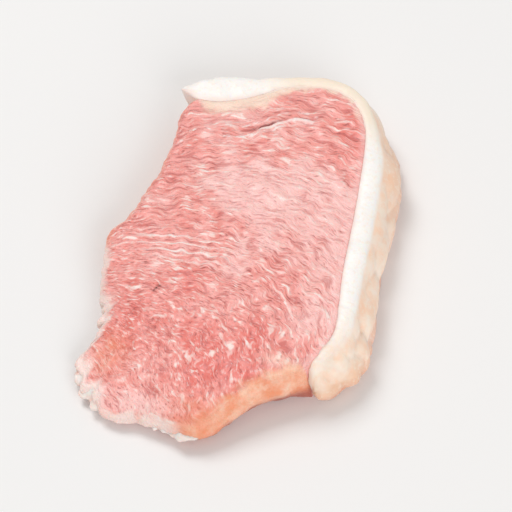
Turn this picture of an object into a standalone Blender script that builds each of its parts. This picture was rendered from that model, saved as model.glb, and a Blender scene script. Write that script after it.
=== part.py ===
"""A raw boneless pork loin chop: the eye of lean meat and the cap of back fat along one side of it.

The chop lies on its cut underside. X runs from the trimmed edge to the fat, Y runs along the chop towards
the end where the fat leaves a loose tongue, and Z is up. The origin is on the surface that the chop lies on,
under the middle of its box.
"""

import math

import bmesh
import bpy
from mathutils import Vector, noise

MM = 0.001

# Driving sizes. Everything down to GAP is in millimetres, and the two slopes are mm per mm.
THICKNESS = 13.4  # of the slice, at the middle of the eye
SLOPE_TO_FAT = 0.05  # the slice is thicker towards the fat
SLOPE_TO_TONGUE = 0.016  # and a little thicker towards the tongue
THIN_WAY = Vector((-0.62, -0.78))  # towards the corner where the slice runs out thin
THIN_SPAN = (12.0, 58.0)  # how far that way the thinning begins and ends
THIN_DEPTH = 7.2
BIAS_CUT = Vector((3.4, 0.0))  # how far the underside lies from under the top, as the knife ran askew
UNDULATION = 0.45  # height of the soft swells on the cut face
UNDULATION_LENGTH = 17.0
GAP = 0.3  # between the lean and the fat
SAMPLE_STEP = 2.5  # along the outlines
CURVE_PIECES = 24  # straight pieces that stand for the curve between two points of an outline
SHARP_ANGLE = math.radians(55)  # edges that bend more than this stay crisp

# The border between lean and fat, from the root of the tongue round to the knob where the fat ends.
SEAM = [
    (-28.5, 44.0), (-23.0, 45.0), (-17.0, 48.1), (-11.5, 52.2), (-8.0, 55.7), (-2.0, 58.8),
    (4.0, 60.6), (10.0, 60.1), (15.0, 57.3), (18.7, 52.7), (21.4, 46.4), (24.4, 35.6),
    (28.2, 19.0), (31.5, 3.0), (34.5, -8.0), (36.5, -16.0), (35.8, -24.0), (33.4, -31.0),
]  # fmt: skip

# The trimmed edge of the lean, from the knob round the narrow end and back to the tongue.
TRIMMED_EDGE = [
    (33.4, -31.0), (28.6, -35.0), (22.4, -40.5), (18.0, -47.0), (13.6, -53.4), (8.4, -56.2),
    (2.2, -56.2), (-4.6, -56.4), (-10.2, -58.2), (-16.0, -58.2), (-21.5, -55.2), (-25.6, -50.6),
    (-27.4, -45.0), (-26.4, -39.0), (-27.8, -31.0), (-29.6, -24.0), (-31.6, -15.0), (-34.0, -5.6),
    (-31.8, 1.2), (-31.0, 9.0), (-29.8, 16.0), (-30.0, 23.0), (-30.2, 30.0), (-31.6, 37.4),
    (-30.6, 41.6), (-28.5, 44.0),
]  # fmt: skip

# The loose tongue, from its tip to the root of the seam: the inner edge's x and y, the width, and the shares
# of the height between which it hangs.
TONGUE = [
    (-35.6, 47.2, 0.5, 0.66, 0.84), (-35.0, 46.6, 1.8, 0.52, 0.92), (-33.4, 45.7, 3.7, 0.34, 0.97),
    (-31.6, 45.1, 5.2, 0.16, 1.0), (-30.0, 44.7, 6.3, 0.04, 1.0),
]  # fmt: skip
# The rounded end of the knob: step on from the last section, size of the section there.
KNOB_END = [(0.9, 0.86), (1.5, 0.6), (1.8, 0.28)]

# Width of the white band on the cut face, at distances along the seam.
FAT_WIDTH = [
    (0.0, 7.2), (6.0, 8.6), (12.0, 8.0), (20.0, 5.6), (26.0, 3.4), (38.0, 2.9), (48.0, 2.8),
    (56.0, 3.2), (64.0, 4.4), (74.0, 5.3), (90.0, 5.3), (104.0, 5.2), (116.0, 4.6), (125.0, 3.4),
    (134.0, 2.4), (143.0, 0.8),
]  # fmt: skip

# How far the fat's outer side swells past its ridge, at distances along the seam.
FAT_SWELL = [
    (-7.0, 0.2), (0.0, 1.6), (20.0, 1.8), (46.0, 1.8), (58.0, 3.4), (67.0, 4.6), (78.0, 3.2),
    (104.0, 3.0), (120.0, 3.6), (132.0, 4.2), (140.0, 3.2), (143.0, 1.8),
]  # fmt: skip

# One section across the fat, from the foot of its inner side up and over: share of the band's width, share of
# the height, share of the swell.
FAT_SECTION = [
    (0.0, 0.0, 0.0), (0.0, 0.35, 0.0), (0.0, 0.68, 0.0), (0.0, 0.96, 0.0), (0.14, 1.0, 0.0),
    (0.5, 1.025, 0.0), (0.86, 1.0, 0.0), (1.0, 0.955, 0.12), (1.0, 0.84, 0.5), (1.0, 0.66, 0.82),
    (1.0, 0.44, 1.0), (1.0, 0.22, 0.95), (1.0, 0.06, 0.66), (0.94, 0.0, 0.35), (0.5, 0.0, 0.0),
]  # fmt: skip

# The lean's side, from its foot up: inset, share of the height, share of the swell.
LEAN_SIDE = [
    (1.9, 0.0, 0.0), (0.5, 0.05, 0.5), (0.0, 0.2, 0.95), (0.0, 0.42, 1.0), (0.0, 0.64, 0.72),
    (0.0, 0.8, 0.3),
]  # fmt: skip
# The rounded shoulder above it: inset, and drop below the cut face where the slice has its full thickness.
LEAN_SHOULDER = [(0.2, 1.7), (1.1, 0.8), (2.6, 0.22), (4.8, 0.0)]
LEAN_SWELL = 1.2
SEAM_INSET = 0.35  # the foot's inset beside the fat, as a share of that at a free edge
SEAM_SHOULDER = 0.16  # the shoulder's size beside the fat, the same way
EDGE_FADE = 8.0  # over which the free edge's swell and shoulder die away towards the fat
LEAN_RINGS = (0.9, 0.8, 0.69, 0.58, 0.46, 0.34, 0.22, 0.1)  # rings on the cut face, as shares of the outline's size


def along_curve(points, step):
    """Evenly spaced points on a smooth curve through the given ones. Both ends are kept."""
    ends = [Vector(p) for p in points]
    before = 2 * ends[0] - ends[1]
    after = 2 * ends[-1] - ends[-2]
    knots = [before, *ends, after]
    fine = []
    for a, b, c, d in zip(knots, knots[1:], knots[2:], knots[3:]):
        for i in range(CURVE_PIECES):
            t = i / CURVE_PIECES
            straight = 2 * b + (c - a) * t
            bend = (2 * a - 5 * b + 4 * c - d) * t**2 + (3 * b - a - 3 * c + d) * t**3
            fine.append((straight + bend) / 2)
    fine.append(ends[-1])
    lengths = [0.0]
    for p, q in zip(fine, fine[1:]):
        lengths.append(lengths[-1] + (q - p).length)
    count = round(lengths[-1] / step)
    out = [fine[0]]
    k = 0
    for i in range(1, count):
        at = lengths[-1] * i / count
        while lengths[k + 1] < at:
            k += 1
        share = (at - lengths[k]) / (lengths[k + 1] - lengths[k])
        out.append(fine[k].lerp(fine[k + 1], share))
    out.append(fine[-1])
    return out


def read_table(table, at):
    """The value that a table of (distance, value) rows gives at a distance, eased between its rows."""
    if at <= table[0][0]:
        return table[0][1]
    for (x0, y0), (x1, y1) in zip(table, table[1:]):
        if at <= x1:
            t = (at - x0) / (x1 - x0)
            return y0 + (y1 - y0) * t * t * (3 - 2 * t)
    return table[-1][1]


def smooth_step(t):
    """0 to 1 with flat ends."""
    t = min(1.0, max(0.0, t))
    return t * t * (3 - 2 * t)


def outward(points, i, closed):
    """The normal of an anticlockwise or seam-wise curve at point i, pointing out of the meat."""
    if closed:
        tangent = points[(i + 1) % len(points)] - points[i - 1]
    else:
        tangent = points[min(i + 1, len(points) - 1)] - points[max(i - 1, 0)]
    return Vector((-tangent.y, tangent.x)).normalized()


def face_height(p):
    """Height of the cut face over the point p."""
    height = THICKNESS + SLOPE_TO_FAT * p.x + SLOPE_TO_TONGUE * p.y
    low, high = THIN_SPAN
    height -= THIN_DEPTH * smooth_step((p.dot(THIN_WAY) - low) / (high - low))
    swell = noise.noise(Vector((p.x, p.y, 0.0)) / UNDULATION_LENGTH)
    return height + UNDULATION * swell


def place(p, height_share, drop=0.0):
    """A point at a share of the height over p, moved as the slanting cut moves it."""
    shifted = p + BIAS_CUT * (1 - height_share)
    return Vector((shifted.x, shifted.y, face_height(p) * height_share - drop))


def lean_rings(seam, trimmed):
    """The rings of the lean, from the foot of its side to the middle of the cut face."""
    outline = seam + trimmed[1:-1]
    first_free = len(seam)
    from_fat = []
    for i, p in enumerate(outline):
        free = i >= first_free
        nearest = min((p - seam[0]).length, (p - seam[-1]).length)
        from_fat.append(smooth_step(nearest / EDGE_FADE) if free else 0.0)
    normals = [outward(outline, i, closed=True) for i in range(len(outline))]
    middle = sum(outline, Vector((0.0, 0.0))) / len(outline)
    rings = []
    for inset, share, swell in LEAN_SIDE:
        ring = []
        for p, n, free in zip(outline, normals, from_fat):
            inset_here = inset * (SEAM_INSET + (1 - SEAM_INSET) * free)
            ring.append(place(p + n * (LEAN_SWELL * swell * free - inset_here), share))
        rings.append(ring)
    for inset, drop in LEAN_SHOULDER:
        ring = []
        for p, free in zip(outline, from_fat):
            size = SEAM_SHOULDER + (1 - SEAM_SHOULDER) * free
            inward = (middle - p).normalized()
            thinness = min(1.0, face_height(p) / THICKNESS)
            ring.append(place(p + inward * inset * size, 1.0, drop * size * thinness))
        rings.append(ring)
    inner = [Vector((q.x, q.y)) for q in rings[-1]]
    for size in LEAN_RINGS:
        rings.append([place(middle.lerp(q, size), 1.0) for q in inner])
    return rings


def fat_rings(seam):
    """The rings of the fat, one section after another from the tongue's tip to the knob."""
    spine = [Vector((x, y)) for x, y, *_ in TONGUE]
    widths = [row[2] for row in TONGUE]
    spans = [row[3:] for row in TONGUE]
    run = [-(p - seam[0]).length for p in spine]
    distance = 0.0
    for i, p in enumerate(seam):
        if i:
            distance += (p - seam[i - 1]).length
        spine.append(p + outward(seam, i, closed=False) * GAP)
        widths.append(read_table(FAT_WIDTH, distance))
        spans.append((0.0, 1.0))
        run.append(distance)
    rings = []
    for i, p in enumerate(spine):
        n = outward(spine, i, closed=False)
        swell = read_table(FAT_SWELL, run[i])
        low, high = spans[i]
        ring = []
        for across, share, out in FAT_SECTION:
            ring.append(place(p + n * (widths[i] * across + swell * out), low + (high - low) * share))
        rings.append(ring)
    last = rings[-1]
    onward = (spine[-1] - spine[-2]).normalized().to_3d()
    middle = sum(last, Vector()) / len(last)
    for step, size in KNOB_END:
        rings.append([middle.lerp(q, size) + onward * step for q in last])
    return rings


def loft(name, rings, material):
    """A closed object through rings of points, its first and last rings filled as fans."""
    mesh_tool = bmesh.new()
    rows = [[mesh_tool.verts.new(p * MM) for p in ring] for ring in rings]
    for row, nxt in zip(rows, rows[1:]):
        for i in range(len(row)):
            j = (i + 1) % len(row)
            mesh_tool.faces.new((row[i], row[j], nxt[j], nxt[i]))
    for row in (rows[0], rows[-1]):
        middle = mesh_tool.verts.new(sum((v.co for v in row), Vector()) / len(row))
        for i in range(len(row)):
            mesh_tool.faces.new((row[i], row[(i + 1) % len(row)], middle))
    bmesh.ops.recalc_face_normals(mesh_tool, faces=mesh_tool.faces)
    mesh = bpy.data.meshes.new(name)
    mesh_tool.to_mesh(mesh)
    mesh_tool.free()
    mesh.shade_smooth()
    mesh.set_sharp_from_angle(angle=SHARP_ANGLE)
    mesh.materials.append(material)
    obj = bpy.data.objects.new(name, mesh)
    bpy.context.scene.collection.objects.link(obj)
    return obj


def flesh(name, colour, roughness):
    """A plain moist material."""
    material = bpy.data.materials.new(name)
    material.use_nodes = True
    shader = material.node_tree.nodes["Principled BSDF"]
    shader.inputs["Base Color"].default_value = (*colour, 1.0)
    shader.inputs["Roughness"].default_value = roughness
    shader.inputs["Metallic"].default_value = 0.0
    material.diffuse_color = (*colour, 1.0)
    return material


def centre_over_origin(objects):
    """Moves the meshes so that the middle of their box is over the origin."""
    corners = [v.co for obj in objects for v in obj.data.vertices]
    shift = Vector(
        (
            -(min(c.x for c in corners) + max(c.x for c in corners)) / 2,
            -(min(c.y for c in corners) + max(c.y for c in corners)) / 2,
            -min(c.z for c in corners),
        )
    )
    for obj in objects:
        for v in obj.data.vertices:
            v.co += shift


def build():
    """Clears the scene and makes the two solids."""
    for obj in list(bpy.data.objects):
        bpy.data.objects.remove(obj, do_unlink=True)
    seam = along_curve(SEAM, SAMPLE_STEP)
    trimmed = along_curve(TRIMMED_EDGE, SAMPLE_STEP)
    lean = loft("loin_eye", lean_rings(seam, trimmed), flesh("lean_meat", (0.80, 0.36, 0.33), 0.42))
    fat = loft("fat_cap", fat_rings(seam), flesh("back_fat", (0.90, 0.78, 0.68), 0.45))
    centre_over_origin([lean, fat])


build()
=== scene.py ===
"""A raw boneless pork loin chop: its looks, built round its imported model.

The eye of lean starts as an open drum that is drawn to the chop's outline, and the fat cap as a straight tube
that is bent along the seam. Both then get their relief: the grain of the cut face, the crease by the fat, the
dents of the fat's outer side. Thin scraps of sinew hang on at the thin edge. Sizes are in millimetres until a
mesh is written, which is in metres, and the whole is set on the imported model's box.
"""

import logging
import math
from dataclasses import dataclass, field
from enum import Enum
from typing import Callable, Sequence

import bpy
import numpy as np
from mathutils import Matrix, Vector, noise


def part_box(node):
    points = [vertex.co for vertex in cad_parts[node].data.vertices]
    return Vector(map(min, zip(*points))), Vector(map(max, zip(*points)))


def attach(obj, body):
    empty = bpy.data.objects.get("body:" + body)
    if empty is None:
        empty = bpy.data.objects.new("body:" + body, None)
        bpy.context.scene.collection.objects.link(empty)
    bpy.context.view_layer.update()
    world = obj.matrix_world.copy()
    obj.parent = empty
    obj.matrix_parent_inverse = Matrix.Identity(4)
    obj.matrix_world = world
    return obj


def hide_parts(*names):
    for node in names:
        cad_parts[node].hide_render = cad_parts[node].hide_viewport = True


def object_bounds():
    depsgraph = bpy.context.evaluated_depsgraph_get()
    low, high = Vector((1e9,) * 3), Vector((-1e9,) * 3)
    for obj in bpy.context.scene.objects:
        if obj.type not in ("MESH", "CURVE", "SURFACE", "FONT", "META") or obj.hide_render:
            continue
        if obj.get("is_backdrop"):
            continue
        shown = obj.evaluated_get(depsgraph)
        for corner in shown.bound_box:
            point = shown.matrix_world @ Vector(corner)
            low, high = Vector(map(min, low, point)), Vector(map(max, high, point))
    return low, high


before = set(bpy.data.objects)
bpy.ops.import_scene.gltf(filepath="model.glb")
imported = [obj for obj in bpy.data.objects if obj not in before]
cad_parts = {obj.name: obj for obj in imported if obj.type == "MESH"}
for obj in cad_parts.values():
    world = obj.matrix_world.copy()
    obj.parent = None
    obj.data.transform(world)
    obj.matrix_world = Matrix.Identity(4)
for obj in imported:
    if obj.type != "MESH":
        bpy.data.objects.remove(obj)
CAD_LOW, CAD_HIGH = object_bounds()

MM = 0.001
TINY = 1e-4  # how close two heights on a drum are when they are the same
LOG = logging.getLogger("pork_chop")

Size = float | tuple[float, ...]
Layers = tuple[tuple[Size, float, float], ...]  # size of a blob, height, seed
Patches = tuple[tuple[tuple[float, float], tuple[float, float], float], ...]  # middle, reach, amount


class Rings(Enum):
    """Where a drum's edges are cut to make more rings."""

    WALL = "wall"
    TOP = 0.0
    FOOT = -1.0


class Stretch(Enum):
    """Stretches of an edge, by distance along it in millimetres: where each fades in and where it fades out."""

    # of the lean's trimmed edge, from the knob round the narrow end to the tongue
    SMOOTH_FRONT = ((-1.0, 0.0), (28.0, 36.0))
    PEACH_FRONT = ((-2.0, 2.0), (30.0, 37.0))
    MILKY_FOOT = ((34.0, 42.0), (56.0, 62.0))
    THIN_FOOT = ((36.0, 44.0), (58.0, 66.0))
    NOTCHED_CORNER = ((58.0, 66.0), (92.0, 104.0))
    MILKY_CORNER = ((56.0, 66.0), (94.0, 101.0))
    MILKY_RIM = ((94.0, 99.0), (112.0, 118.0))
    FULL_LEFT = ((94.0, 100.0), (116.0, 124.0))
    # of the seam, from the tongue to the knob
    CREAM_BY_TONGUE = ((-2.0, 3.0), (22.0, 32.0))
    CREAM_AT_TOP = ((20.0, 30.0), (46.0, 60.0))
    WARM_BAND = ((17.0, 30.0), (52.0, 68.0))

    def over(self, run: np.ndarray) -> np.ndarray:
        """How far each distance along the edge belongs to the stretch, from 0 to 1."""
        return window(run, *self.value)


# --------------------------------------------------------------------------- small helpers


def ease(x: np.ndarray, low: float, high: float) -> np.ndarray:
    """Smooth step.

    Args:
        x: Values to ease.
        low: Where the result is 0.
        high: Where the result is 1.

    Returns:
        Values from 0 to 1 with flat ends.
    """
    t = np.clip((x - low) / (high - low), 0.0, 1.0)
    return t * t * (3.0 - 2.0 * t)


def hump(x: np.ndarray, middle: float, reach: float) -> np.ndarray:
    """A bell curve of height 1.

    Args:
        x: Values to read it at.
        middle: Where it is 1.
        reach: Distance at which it has fallen to about a third.

    Returns:
        Values from 0 to 1.
    """
    return np.exp(-(((x - middle) / reach) ** 2))


def patch(xy: np.ndarray, middle: tuple[float, float], reach: tuple[float, float]) -> np.ndarray:
    """A soft round patch on the plan.

    Args:
        xy: Points on the plan, one a row.
        middle: The patch's middle.
        reach: Its reach along X and along Y.

    Returns:
        1 at the middle, falling to 0.
    """
    return hump(xy[:, 0], middle[0], reach[0]) * hump(xy[:, 1], middle[1], reach[1])


def patches(xy: np.ndarray, table: Patches) -> np.ndarray:
    """Adds up soft patches on the plan.

    Args:
        xy: Points on the plan, one a row.
        table: The patches.

    Returns:
        Their sum at each point.
    """
    return sum(amount * patch(xy, middle, reach) for middle, reach, amount in table)


def window(x: np.ndarray, rise: tuple[float, float], fall: tuple[float, float]) -> np.ndarray:
    """1 over one stretch and 0 beyond it.

    Args:
        x: Values to read it at.
        rise: Where it starts to rise and where it is 1.
        fall: Where it starts to fall and where it is 0 again.

    Returns:
        Values from 0 to 1.
    """
    return ease(x, *rise) * (1.0 - ease(x, *fall))


def cloud(points: np.ndarray, size: Size, seed: float = 0.0) -> np.ndarray:
    """Smooth noise.

    Args:
        points: Points in millimetres, one a row, with two or three coordinates.
        size: Rough size of one blob, in millimetres, or its size along each coordinate.
        seed: Moves the pattern, so that two fields differ.

    Returns:
        Values between about -1 and 1.
    """
    scaled = points / size
    if points.shape[1] == 2:
        return np.array([noise.noise((x, y, seed)) for x, y in scaled.tolist()])
    return np.array([noise.noise((x + seed, y - seed, z + 2.0 * seed)) for x, y, z in scaled.tolist()])


def clouds(points: np.ndarray, layers: Layers) -> np.ndarray:
    """Adds up layers of smooth noise.

    Args:
        points: Points in millimetres, one a row.
        layers: The layers.

    Returns:
        Their sum at each point.
    """
    return sum(height * cloud(points, size, seed) for size, height, seed in layers)


def panes(points: np.ndarray, size: np.ndarray | float, seed: int) -> np.ndarray:
    """Squared distance to the nearest of a scatter of spots: added to a rounded surface, it leaves flat panes.

    Args:
        points: Points on a surface, one a row, with two coordinates in millimetres.
        size: Rough size of one pane, in millimetres, the same everywhere or one a row.
        seed: Chooses the scatter.

    Returns:
        The squared distances in square millimetres.
    """
    table = 64
    spots = np.random.default_rng(seed).uniform(0.12, 0.88, (table, table, 2))
    cell = np.floor(points / size).astype(int)
    best = np.full(len(points), np.inf)
    for step in np.ndindex(3, 3):
        there = cell + np.array(step) - 1
        spot = (there + spots[there[:, 0] % table, there[:, 1] % table]) * size
        best = np.minimum(best, ((points - spot) ** 2).sum(axis=1))
    return best


def linear_colour(hex_colour: str) -> tuple[float, float, float, float]:
    """Turns an sRGB hex value into the linear colour that a shader takes.

    Args:
        hex_colour: Six hex digits, with or without a leading #.

    Returns:
        Red, green, blue and an alpha of 1.
    """
    digits = hex_colour.lstrip("#")
    out = []
    for i in (0, 2, 4):
        c = int(digits[i : i + 2], 16) / 255.0
        out.append(c / 12.92 if c <= 0.04045 else ((c + 0.055) / 1.055) ** 2.4)
    return (*out, 1.0)


def start_piece(name: str, primitive: Callable[..., object], **how: object) -> bpy.types.Object:
    """Adds a primitive with nothing else selected and puts its place in its mesh.

    Args:
        name: The piece's name.
        primitive: The operator that adds it.
        **how: What that is told.

    Returns:
        The piece.
    """
    bpy.ops.object.select_all(action="DESELECT")
    primitive(**how)
    obj = bpy.context.object
    obj.name = name
    bpy.ops.object.transform_apply(location=True, rotation=False, scale=False)
    return obj


def face_outwards() -> None:
    """Turns all faces of the active piece outwards."""
    bpy.ops.object.mode_set(mode="EDIT")
    bpy.ops.mesh.select_all(action="SELECT")
    bpy.ops.mesh.normals_make_consistent(inside=False)
    bpy.ops.object.mode_set(mode="OBJECT")


def settle(obj: bpy.types.Object, shift: np.ndarray) -> None:
    """Moves a piece from the sketch, in millimetres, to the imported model's frame, in metres, and smooths it.

    Args:
        obj: The piece.
        shift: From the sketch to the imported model's frame, in millimetres.
    """
    rows = points_of(obj)
    rows[:, :2] += shift
    set_points(obj, rows * MM)
    bpy.ops.object.shade_smooth()


def raise_points(obj: bpy.types.Object, rows: np.ndarray, height: np.ndarray) -> np.ndarray:
    """Moves a piece's points along its normals, but not below the table.

    Args:
        obj: The piece.
        rows: Its points, one a row.
        height: How far each moves.

    Returns:
        The new points.
    """
    rows = rows + normals_of(obj) * height[:, None]
    rows[:, 2] = np.maximum(rows[:, 2], 0.0)
    set_points(obj, rows)
    return rows


def edit(obj: bpy.types.Object) -> None:
    """Makes one object the active one, with none of its edges selected and edges as what is chosen.

    Args:
        obj: The object.
    """
    bpy.ops.object.select_all(action="DESELECT")
    obj.select_set(True)
    bpy.context.view_layer.objects.active = obj
    bpy.ops.object.mode_set(mode="EDIT")
    bpy.ops.mesh.select_mode(type="EDGE")
    bpy.ops.mesh.select_all(action="DESELECT")
    bpy.ops.object.mode_set(mode="OBJECT")


def points_of(obj: bpy.types.Object) -> np.ndarray:
    """Reads an object's vertices.

    Args:
        obj: The object.

    Returns:
        The vertices, one a row.
    """
    out = np.zeros(len(obj.data.vertices) * 3)
    obj.data.vertices.foreach_get("co", out)
    return out.reshape(-1, 3)


def set_points(obj: bpy.types.Object, points: np.ndarray) -> None:
    """Writes the object's vertices back, one a row."""
    obj.data.vertices.foreach_set("co", points.astype(np.float32).ravel())
    obj.data.update()


def normals_of(obj: bpy.types.Object) -> np.ndarray:
    """Reads the smooth normals at an object's vertices.

    Args:
        obj: The object.

    Returns:
        The normals, one a row.
    """
    out = np.zeros(len(obj.data.vertices) * 3)
    obj.data.vertex_normals.foreach_get("vector", out)
    return out.reshape(-1, 3)


def paint(obj: bpy.types.Object, name: str, values: np.ndarray) -> None:
    """Stores one number or one vector a vertex under a name that the material reads.

    Args:
        obj: The piece.
        name: The name.
        values: A number or a vector for each vertex.
    """
    if values.ndim == 2:
        layer = obj.data.attributes.new(name, "FLOAT_VECTOR", "POINT")
        layer.data.foreach_set("vector", values.astype(np.float32).ravel())
        return
    layer = obj.data.attributes.new(name, "FLOAT", "POINT")
    layer.data.foreach_set("value", values.astype(np.float32))


def cut_rings(obj: bpy.types.Object, where: Rings, rings: int, hub: float = 0.0) -> None:
    """Cuts a drum's wall, or the flat ring round its hub, into rings.

    Args:
        obj: The drum, of radius 1.
        where: The wall or one of the ends.
        rings: How many rings come of it.
        hub: Size of the hub that the flat ring surrounds.
    """
    edit(obj)
    mesh = obj.data
    for edge in mesh.edges:
        a, b = (mesh.vertices[v].co for v in edge.vertices)
        if where is Rings.WALL:
            edge.select = abs(a.z - b.z) > TINY
        else:
            near, far = sorted((a.xy.length, b.xy.length))
            flat = abs(a.z - where.value) + abs(b.z - where.value) < TINY
            edge.select = flat and near < hub + 10 * TINY and far > 1 - 10 * TINY
    bpy.ops.object.mode_set(mode="EDIT")
    bpy.ops.mesh.subdivide_edgering(number_cuts=rings - 1, interpolation="LINEAR", smoothness=0.0)
    bpy.ops.object.mode_set(mode="OBJECT")


class Curve:
    """A smooth line through a few points, read at any distance along it."""

    PIECES = 24  # straight pieces between two of the given points
    SPARSE = 6  # one fine point in so many is enough to find the nearest place
    BATCH = 4000  # points that are measured at once

    def __init__(self, points: Sequence[tuple[float, ...]], closed: bool = False) -> None:
        """Draws the line.

        Args:
            points: The points that it passes through.
            closed: Whether the last point joins the first.
        """
        given = np.array(points, float)
        if closed:
            knots = np.vstack([given[-1], given, given[0], given[1]])
        else:
            knots = np.vstack([2 * given[0] - given[1], given, 2 * given[-1] - given[-2]])
        t = (np.arange(self.PIECES) / self.PIECES)[:, None]
        runs = []
        for a, b, c, d in zip(knots, knots[1:], knots[2:], knots[3:]):
            straight = 2 * b + (c - a) * t
            bend = (2 * a - 5 * b + 4 * c - d) * t**2 + (3 * b - a - 3 * c + d) * t**3
            runs.append((straight + bend) / 2)
        runs.append(knots[-2][None])
        self._take(np.vstack(runs), closed)

    def _take(self, fine: np.ndarray, closed: bool) -> None:
        """Keeps the fine points and measures the line.

        Args:
            fine: Close points along the line, one a row.
            closed: Whether the last point meets the first.
        """
        self.fine = fine
        self.closed = closed
        steps = np.linalg.norm(np.diff(fine, axis=0), axis=1)
        self.run = np.concatenate([[0.0], np.cumsum(steps)])
        self.length = float(self.run[-1])

    @classmethod
    def joined(cls, first: "Curve", second: "Curve") -> "Curve":
        """One closed line made of two that share their ends.

        Args:
            first: The line that it starts with.
            second: The line that leads back to the start.

        Returns:
            The closed line.
        """
        whole = cls.__new__(cls)
        whole._take(np.vstack([first.fine, second.fine[1:]]), True)
        return whole

    def at(self, distance: np.ndarray) -> np.ndarray:
        """Reads the line.

        Args:
            distance: Distances along it.

        Returns:
            The points there, one a row.
        """
        if self.closed:
            distance = np.mod(distance, self.length)
        return np.stack([np.interp(distance, self.run, column) for column in self.fine.T], axis=-1)

    def left(self, distance: np.ndarray, span: float = 1.2) -> np.ndarray:
        """The unit normals to the left of the direction of travel.

        Args:
            distance: Distances along the line.
            span: How far on either side the direction is read, which rounds the corners.

        Returns:
            The normals, one a row.
        """
        ahead, behind = distance + span, distance - span
        if not self.closed:
            ahead, behind = np.minimum(ahead, self.length), np.maximum(behind, 0.0)
        way = self.at(ahead) - self.at(behind)
        way /= np.linalg.norm(way, axis=-1, keepdims=True)
        return np.stack([-way[..., 1], way[..., 0]], axis=-1)

    def nearest(self, xy: np.ndarray) -> tuple[np.ndarray, np.ndarray]:
        """Where the line is nearest to each point.

        Args:
            xy: Points on the plan, one a row.

        Returns:
            The distances to the line, and the distances along it.
        """
        line, run = self.fine[:: self.SPARSE], self.run[:: self.SPARSE]
        far, where = [], []
        for part in np.array_split(xy, len(xy) // self.BATCH + 1):
            gap = np.linalg.norm(part[:, None] - line[None], axis=-1)
            k = gap.argmin(axis=1)
            far.append(gap[np.arange(len(k)), k])
            where.append(run[k])
        return np.concatenate(far), np.concatenate(where)


# --------------------------------------------------------------------------- the plan of the chop


@dataclass(frozen=True)
class ChopPlan:
    """The outlines of the slice and the height of its cut face, in millimetres, in the frame of its sketch."""

    thickness: float = 13.4
    slope_to_fat: float = 0.05
    slope_to_tongue: float = 0.016
    thin_way: tuple[float, float] = (-0.62, -0.78)
    thin_span: tuple[float, float] = (12.0, 58.0)
    thin_depth: float = 7.2
    bias_cut: tuple[float, float] = (3.4, 0.0)
    undulation: float = 0.45
    undulation_length: float = 17.0
    grain_turn: float = math.radians(-21)  # of the muscle's fibres at the middle, from the X axis
    grain_fan: float = math.radians(0.28)  # how much they turn for each millimetre along Y
    grain_bend: float = math.radians(-0.14)  # and along X
    grain_lift: float = math.radians(22)  # how much flatter they lie in the upper part
    grain_lift_span: tuple[float, float] = (-50.0, -8.0)  # where along Y that sets in
    grain_curl: float = math.radians(-0.33)  # and how that changes along X
    grain_waver: Layers = ((6.5, 1.5, 3.0), (2.9, 0.9, 4.0))
    seam_points: tuple[tuple[float, float], ...] = (
        (-28.5, 44.0), (-23.0, 45.0), (-17.0, 48.1), (-11.5, 52.2), (-8.0, 55.7), (-2.0, 58.8),
        (4.0, 60.6), (10.0, 60.1), (15.0, 57.3), (18.7, 52.7), (21.4, 46.4), (24.4, 35.6),
        (28.2, 19.0), (31.5, 3.0), (34.5, -8.0), (36.5, -16.0), (35.8, -24.0), (33.4, -31.0),
    )
    trimmed_points: tuple[tuple[float, float], ...] = (
        (33.4, -31.0), (28.6, -35.0), (22.4, -40.5), (18.0, -47.0), (13.6, -53.4), (8.4, -56.2),
        (2.2, -56.2), (-4.6, -56.4), (-10.2, -58.2), (-16.0, -58.2), (-21.5, -55.2), (-25.6, -50.6),
        (-27.4, -45.0), (-26.4, -39.0), (-27.8, -31.0), (-29.6, -24.0), (-31.6, -15.0), (-34.0, -5.6),
        (-31.8, 1.2), (-31.0, 9.0), (-29.8, 16.0), (-30.0, 23.0), (-30.2, 30.0), (-31.6, 37.4),
        (-30.6, 41.6), (-28.5, 44.0),
    )

    def seam(self) -> Curve:
        """The border between lean and fat, from the root of the tongue to the knob."""
        return Curve(self.seam_points)

    def trimmed(self) -> Curve:
        """The free edge of the lean, from the knob round the narrow end to the tongue."""
        return Curve(self.trimmed_points)

    def face_height(self, xy: np.ndarray) -> np.ndarray:
        """Height of the cut face.

        Args:
            xy: Points on the plan, one a row.

        Returns:
            The heights in millimetres.
        """
        height = self.thickness + self.slope_to_fat * xy[:, 0] + self.slope_to_tongue * xy[:, 1]
        height -= self.thin_depth * ease(xy @ np.array(self.thin_way), *self.thin_span)
        return height + self.undulation * cloud(xy, self.undulation_length)

    def place(self, xy: np.ndarray, share: np.ndarray, drop: np.ndarray) -> np.ndarray:
        """Points at a share of the height, moved as the slanting cut moves them.

        Args:
            xy: Points on the plan, one a row.
            share: Share of the slice's height at each.
            drop: How far each lies below that.

        Returns:
            The points in space, one a row.
        """
        moved = xy + np.array(self.bias_cut) * (1.0 - share)[:, None]
        return np.column_stack([moved, self.face_height(xy) * share - drop])

    def fibres(self, xy: np.ndarray) -> np.ndarray:
        """Where points lie among the muscle's fibres, which bend and waver.

        Args:
            xy: Points on the plan, one a row.

        Returns:
            The distances along the fibres and across them in millimetres, one point a row.
        """
        x, y = xy.T
        turn = self.grain_turn + self.grain_fan * y + self.grain_bend * x
        turn += ease(y, *self.grain_lift_span) * (self.grain_lift + self.grain_curl * x)
        along = x * np.cos(turn) + y * np.sin(turn)
        across = y * np.cos(turn) - x * np.sin(turn)
        return np.column_stack([along, across + clouds(xy, self.grain_waver)])


# --------------------------------------------------------------------------- the eye of lean


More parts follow.
